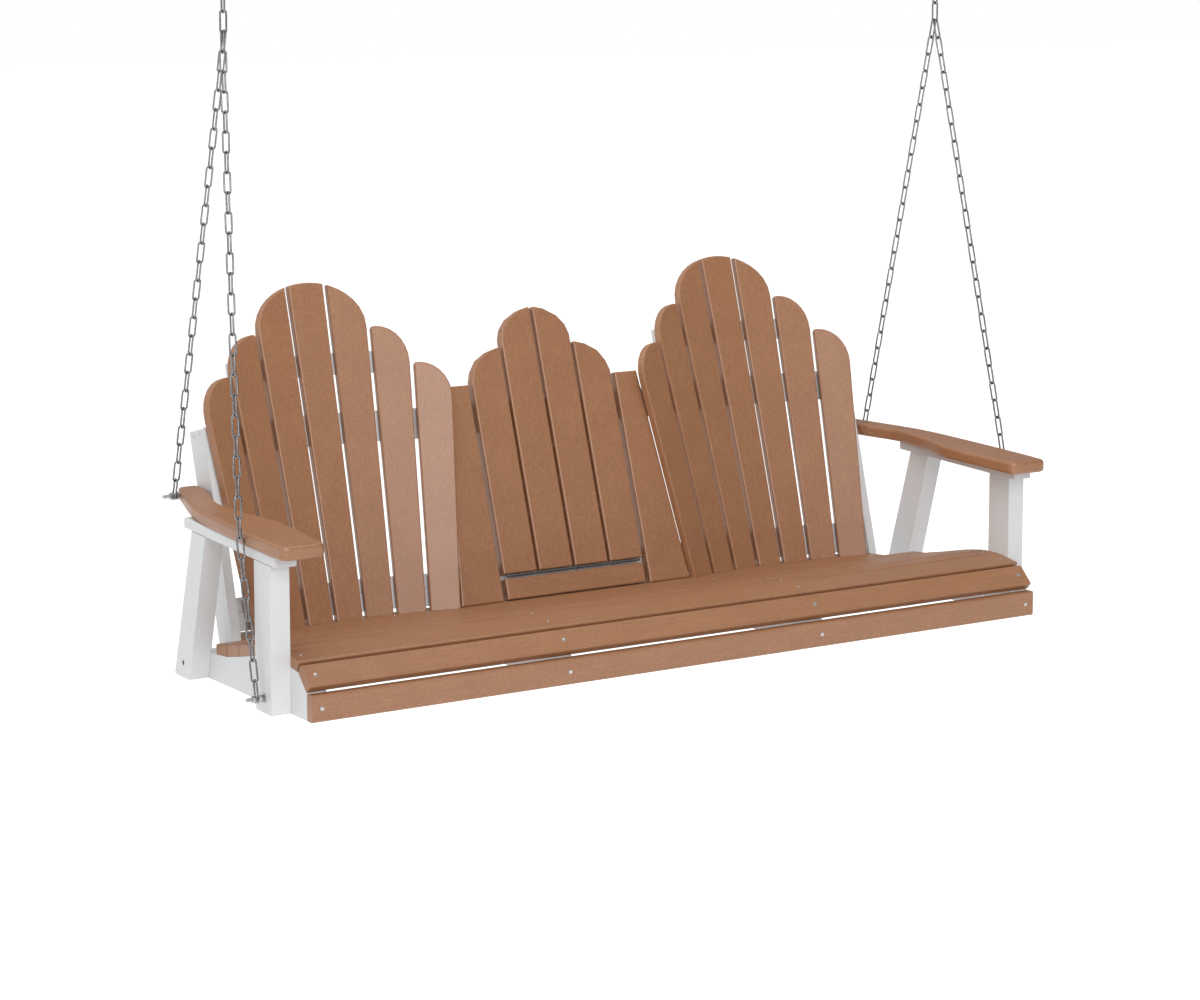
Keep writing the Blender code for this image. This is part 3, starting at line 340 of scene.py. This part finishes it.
def link(low, high, width_way, corner=LINK_CORNER):
    """One link: round wire swept along a rounded rectangle between two wire centres.

    A corner is half size - corner + corner * (cosine, sine) over a quarter turn, mirrored
    to all four corners.
    """
    along = (high - low) / np.linalg.norm(high - low)
    width_way = width_way - along * (width_way @ along)
    width_way = width_way / np.linalg.norm(width_way)
    through = np.cross(along, width_way)
    half_long = np.linalg.norm(high - low) / 2
    half_wide = (LINK_WIDTH - LINK_WIRE) / 2
    turn = np.linspace(0, np.pi / 2, 6)
    normal = np.stack((np.cos(turn), np.sin(turn)), -1)
    quarter = np.array((half_wide - corner, half_long - corner)) + corner * normal
    corners = ((1, 1, 1), (-1, 1, -1), (-1, -1, 1), (1, -1, -1))
    path = np.concatenate([quarter[::order] * (su, sv) for su, sv, order in corners])
    out = np.concatenate([normal[::order] * (su, sv) for su, sv, order in corners])
    centres = (low + high) / 2 + path[:, :1] * width_way + path[:, 1:] * along
    across = out[:, :1] * width_way + out[:, 1:] * along
    depth = np.repeat(through[None], len(path), 0)
    return outward(sweep(centres, across, depth, circle(LINK_WIRE / 2, 10), close=True))


def strand_links(pairs):
    """Links of a strand; every second one is turned a quarter, the first lies in the strand's side view."""
    cross = np.array((1.0, 0.0, 0.0))
    return [link(low, high, np.cross(high - low, cross) if index % 2 == 0 else cross)
            for index, (low, high) in enumerate(pairs)]


def unit(start, end):
    """Direction from start to end."""
    return (end - start) / np.linalg.norm(end - start)


def front_chain(side):
    """Front strand from its bolt, bent over the arm, to the knot, and the two links above the knot."""
    flip = np.array((side, 1.0, 1.0))
    knot = KNOT * flip
    bend = ARM_BEND * flip
    aside = np.array((side * (LINK_WIRE / 2 + TOUCH), 0.0, 0.0))
    foot = FRONT_BOLT * flip - unit(FRONT_BOLT * flip, bend) * BOLT_TO_WIRE
    top = knot + aside - unit(knot, bend) * LINK_WIRE
    parts = strand_links(strand(np.array((foot, bend, top)), FRONT_LINKS))
    rise = np.array((0.0, 0.0, LINK_PITCH + LINK_WIRE))
    upper = knot + np.array((0.0, 0.0, LINK_PITCH))
    parts.append(link(knot, knot + rise, np.array((1.0, 0.0, 0.0)), JOINT_LINK_CORNER))
    parts.append(link(upper, upper + rise, np.array((0.0, 1.0, 0.0))))
    return parts


def rear_chain(side):
    """Rear strand, straight from its bolt to the knot."""
    flip = np.array((side, 1.0, 1.0))
    knot = KNOT * flip
    aside = np.array((side * (LINK_WIRE / 2 + TOUCH), 0.0, 0.0))
    foot = REAR_BOLT * flip - unit(REAR_BOLT * flip, knot) * BOLT_TO_WIRE
    top = knot - aside + unit(foot, knot) * (LINK_WIRE + 2 * TOUCH)
    return strand_links(strand(np.array((foot, top)), REAR_LINKS))


for word, side in SIDES:
    piece("chain_front_links_" + word, "swing", chain_steel, front_chain(side),
          replaces=("chain_front_" + word,))
    piece("chain_rear_links_" + word, "swing", chain_steel, rear_chain(side),
          replaces=("chain_rear_" + word,))


# -------------------------------------------------------------- ceiling hooks
def hook_parts(side):
    """Ceiling eye: a wire ring, centre + radius * (cosine, sine), a turned neck and two screw heads."""
    centre = np.array((side * KNOT[0], KNOT[1], ORIGIN[2] - EYE_DROP + EYE_RING))
    turn = 2 * np.pi * np.arange(48) / 48
    out = np.stack((np.cos(turn), 0 * turn, np.sin(turn)), -1)
    depth = np.repeat(np.array((0.0, 1.0, 0.0))[None], 48, 0)
    ring = sweep(centre + EYE_RING * out, out, depth, circle(EYE_WIRE / 2, 14), close=True)
    neck = [(0.0, 0.0), (0.0, 0.0030), (0.006, 0.0033), (0.0090, 0.0050), (0.0105, 0.0090),
            (0.0112, 0.0150), (0.0115, 0.0245), (0.0122, 0.0258), (0.0132, 0.0260),
            (0.0155, 0.0260), (0.0155, 0.0)]
    head = [(-0.0022, 0.0), (-0.0020, 0.0020), (-0.0012, 0.0034), (0.0004, 0.0040), (0.0008, 0.0)]
    neck_foot = centre + (0.0, 0.0, EYE_RING + 0.0005)
    parts = [outward(ring), outward(turned(neck, neck_foot, (0.0, 0.0, 1.0), 48))]
    for across in (-PLATE_SCREW_X, PLATE_SCREW_X):
        under_plate = centre + (across, 0.0, EYE_RING + 0.0115)
        parts.append(outward(turned(head, under_plate, (0.0, 0.0, 1.0), 20)))
    return parts


for word, side in SIDES:
    piece("ceiling_eye_" + word, "ceiling", bolt_steel, hook_parts(side),
          replaces=("ceiling_hook_" + word,))


# --------------------------------------------------------------- hanger bolts
def nut(start, axis, length, radius=0.0074):
    """Hexagon nut, turned with six sides, its radius drawn in to 0.86 at both faces."""
    profile = [(0.0, 0.0), (0.0, radius * 0.86), (length * 0.12, radius), (length * 0.88, radius),
               (length, radius * 0.86), (length, 0.0)]
    return outward(turned(profile, start, axis, 6))


def washer(start, axis, radius=0.0088, thick=0.0016):
    """Flat washer, turned, with softened rims."""
    soft = 0.0003
    profile = [(0.0, 0.0), (0.0, radius - soft), (soft, radius), (thick - soft, radius),
               (thick, radius - soft), (thick, 0.0)]
    return outward(turned(profile, start, axis, 28))


def thread(start, axis, length, radius, pitch=0.00125):
    """Threaded rod: the radius follows a cosine once a pitch, 0.3 mm either way, to a chamfered end."""
    steps = np.arange(0.0, length - 0.0012, pitch / 4)
    radii = radius - 0.0003 + 0.0003 * np.cos(2 * np.pi * steps / pitch)
    profile = [(0.0, 0.0)] + list(zip(steps, radii)) + [(length, radius - 0.0010), (length, 0.0)]
    return outward(turned(profile, start, axis, 16))


def hanger_parts(side, place, head_x, face_x, end_x):
    """Hanger bolt: domed head inside, washer and nuts outside, threaded end beyond the link."""
    axis = np.array((side, 0.0, 0.0))

    def at(x):
        """Point on the bolt's axis at distance x from the middle of the seat."""
        return np.array((side * x, place[1], place[2]))

    head = [(0.0, 0.0), (0.0, 0.0035), (0.0008, 0.0062), (0.0022, 0.0080), (0.0042, 0.0085),
            (0.0042, 0.0)]
    room = LINK_WIRE / 2 + LINK_ROOM
    return [outward(turned(head, at(head_x - 0.0045), axis, 28)),
            thread(at(head_x - 0.002), axis, end_x - head_x + 0.002, BOLT_RADIUS),
            washer(at(face_x + WASHER_PLACE), axis),
            nut(at(face_x + NUT_PLACE), axis, place[0] - room - face_x - NUT_PLACE),
            washer(at(place[0] + room), axis, 0.0085, 0.0014),
            nut(at(place[0] + room + 0.0015), axis, 0.0064)]


for word, side in SIDES:
    piece("front_hanger_hardware_" + word, "swing", bolt_steel,
          hanger_parts(side, FRONT_BOLT, head_x=0.8253, face_x=0.9073, end_x=0.945),
          replaces=("hanger_bolt_front_" + word,))
    piece("rear_hanger_hardware_" + word, "swing", bolt_steel,
          hanger_parts(side, REAR_BOLT, head_x=0.785, face_x=0.8581, end_x=0.8906),
          replaces=("hanger_bolt_rear_" + word,))


# --------------------------------------------------------------------- screws
def screw(place, axis, radius=SCREW_RADIUS):
    """Countersunk head, turned: a dish rim, a slight dome and a recess of radius 1 + 0.35 cos(4 turn)."""
    turn = 2 * np.pi * (np.arange(SCREW_SIDES) + 0.5) / SCREW_SIDES
    lobes = 1 + 0.35 * np.cos(4 * turn)
    dome = [(-0.0020, 0.0), (-0.0020, radius * 0.75), (0.0002, radius), (0.0006, radius * 0.94),
            (0.0009, radius * 0.6), (0.00095, radius * 0.45)]
    cup = [(0.00095, radius * 0.45), (0.0004, radius * 0.30), (0.0003, 0.0)]
    face, cells = turned(dome, place, axis, SCREW_SIDES)
    inner, inner_cells = turned(cup, place, axis, SCREW_SIDES, lobes)
    inner[:SCREW_SIDES] = face[-SCREW_SIDES:]
    return outward((np.concatenate((face, inner)), np.concatenate((cells, inner_cells + len(face)))))


front_screws = []
for x in SEAT_SCREW_X:
    front_screws.append(screw((x, *APRON_SCREW_YZ), (0, -1, 0)))
    front_screws.append(screw((x, *NOSE_SCREW_YZ), NOSE_FACING))
piece("apron_and_nose_screws", "swing", screw_steel, front_screws)

seat_screws = [screw((x, y, z - SEAT_SCREW_SINK), (0, -slope, 1), SEAT_SCREW_RADIUS)
               for y, z, slope in SEAT_SCREW_ROWS for x in SEAT_SCREW_X]
piece("seat_slat_screws", "swing", screw_steel, seat_screws)

# Sunk bolt head, from the leg's face inwards: a round head with a straight socket.
SOCKET = [(-0.0072, 0.0), (-0.0072, 0.0040), (-0.0066, 0.0050), (-0.0030, 0.0052), (-0.0022, 0.0046),
          (-0.0022, 0.0028), (-0.0045, 0.0026), (-0.0045, 0.0)]
leg_bolts = [outward(turned(SOCKET, (side * LEG_BOLT[0], *LEG_BOLT[1:]), (side, 0, 0)))
             for _, side in SIDES]
piece("rear_leg_bolts", "swing", hinge_steel, leg_bolts)

upright_screws = [screw((side * UPRIGHT_SCREW_X, y, z), (side, 0, 0), FRAME_SCREW_RADIUS)
                  for _, side in SIDES for y, z in UPRIGHT_SCREWS_YZ]
piece("upright_screws", "swing", screw_steel, upright_screws)


# -------------------------------------------------------------- console hinge
def hinge_barrel():
    """Piano hinge's barrel, turned: the radius drops to the groove's near each whole knuckle length."""
    steps = np.arange(0.0, 2 * HINGE_HALF + 1e-6, KNUCKLE / 8)
    phase = (steps / KNUCKLE) % 1.0
    radii = np.where((phase < 0.06) | (phase > 0.94), KNUCKLE_GROOVE_RADIUS, KNUCKLE_RADIUS)
    profile = [(0.0, 0.0)] + list(zip(steps, radii)) + [(2 * HINGE_HALF, 0.0)]
    return outward(turned(profile, (-HINGE_HALF, *HINGE_YZ), (1.0, 0.0, 0.0), 14))


piece("console_hinge_barrel", "swing", hinge_steel, [hinge_barrel()])


# ------------------------------------------------------- floor, light, camera
def stage_floor():
    """Pale floor and backdrop in one sheet, with a glow that only camera and glossy rays see."""
    half = FLOOR_HALF
    level = -ORIGIN[2] - FLOOR_DROP
    mesh = bpy.data.meshes.new("studio_floor")
    mesh.from_pydata([(-half, -half, level), (half, -half, level), (half, half, level),
                      (-half, half, level)], [], [(0, 1, 2, 3)])
    floor = bpy.data.objects.new("studio_floor", mesh)
    bpy.context.scene.collection.objects.link(floor)
    made = bpy.data.materials.new("pale_studio_floor")
    made.use_nodes = True
    tree = made.node_tree
    tree.nodes.clear()
    ray = add(tree, "ShaderNodeLightPath")
    seen = add(tree, "ShaderNodeMath", {"operation": "MAXIMUM"},
               {0: ray.outputs["Is Camera Ray"], 1: ray.outputs["Is Glossy Ray"]})
    plain = add(tree, "ShaderNodeBsdfDiffuse", values={"Color": linear("#F2F2F2")})
    glow = add(tree, "ShaderNodeEmission", values={"Strength": 0.55})
    both = add(tree, "ShaderNodeAddShader", links={0: plain.outputs[0], 1: glow.outputs[0]})
    choose = add(tree, "ShaderNodeMixShader",
                 links={"Fac": seen.outputs["Value"], 1: plain.outputs[0], 2: both.outputs[0]})
    add(tree, "ShaderNodeOutputMaterial", links={"Surface": choose.outputs[0]})
    mesh.materials.append(made)


def studio_world():
    """World that is white to the camera and brightest to other rays from the upper left."""
    world = bpy.data.worlds.new("white_studio")
    bpy.context.scene.world = world
    world.use_nodes = True
    tree = world.node_tree
    tree.nodes.clear()
    ray = add(tree, "ShaderNodeLightPath")
    direct = add(tree, "ShaderNodeMath", {"operation": "MAXIMUM"},
                 {0: ray.outputs["Is Camera Ray"], 1: ray.outputs["Is Transmission Ray"]})
    bearing = add(tree, "ShaderNodeTexCoord").outputs["Generated"]
    toward = add(tree, "ShaderNodeVectorMath", {"operation": "DOT_PRODUCT"}, {0: bearing},
                 {1: (-0.80, 0.10, 0.58)})
    level = add(tree, "ShaderNodeMapRange", links={"Value": toward.outputs["Value"]},
                values={"From Min": -1.0, "From Max": 1.0, "To Min": -0.05, "To Max": 1.0})
    shown = add(tree, "ShaderNodeMath", {"operation": "MAXIMUM"},
                {0: direct.outputs["Value"], 1: level.outputs["Result"]})
    sky = add(tree, "ShaderNodeBackground", links={"Strength": shown.outputs["Value"]},
              values={"Color": (1.0, 1.0, 1.0, 1.0)})
    add(tree, "ShaderNodeOutputWorld", links={"Surface": sky.outputs[0]})


def softbox(name, place, target, size, power):
    """Large square lamp aimed at a point."""
    lamp = bpy.data.lights.new(name, "AREA")
    lamp.shape = "SQUARE"
    lamp.size = size
    lamp.energy = power
    holder = bpy.data.objects.new(name, lamp)
    bpy.context.scene.collection.objects.link(holder)
    holder.location = place
    direction = Vector(target) - Vector(place)
    holder.rotation_euler = direction.to_track_quat("-Z", "Y").to_euler()


def photo_camera():
    """Camera where the photograph was taken from, solved from the edges of the seat."""
    camera = bpy.data.cameras.new("photo_camera")
    camera.sensor_width = 36.0
    camera.lens = CAMERA_LENS
    camera.shift_y = CAMERA_SHIFT
    camera.clip_end = 60.0
    holder = bpy.data.objects.new("photo_camera", camera)
    bpy.context.scene.collection.objects.link(holder)
    holder.location = CAMERA_PLACE
    holder.rotation_euler = (math.radians(90.0 - CAMERA_DOWN), 0.0, math.radians(CAMERA_TURN))
    bpy.context.scene.camera = holder


stage_floor()
studio_world()
softbox("key_softbox", (-1.9, -6.2, 2.2), (0, 0, -0.9), 3.4, 200.0)
softbox("top_softbox", (-0.4, 0.2, 2.6), (0, 0, -1.0), 2.4, 45.0)
photo_camera()
bpy.context.scene.view_settings.view_transform = "Standard"
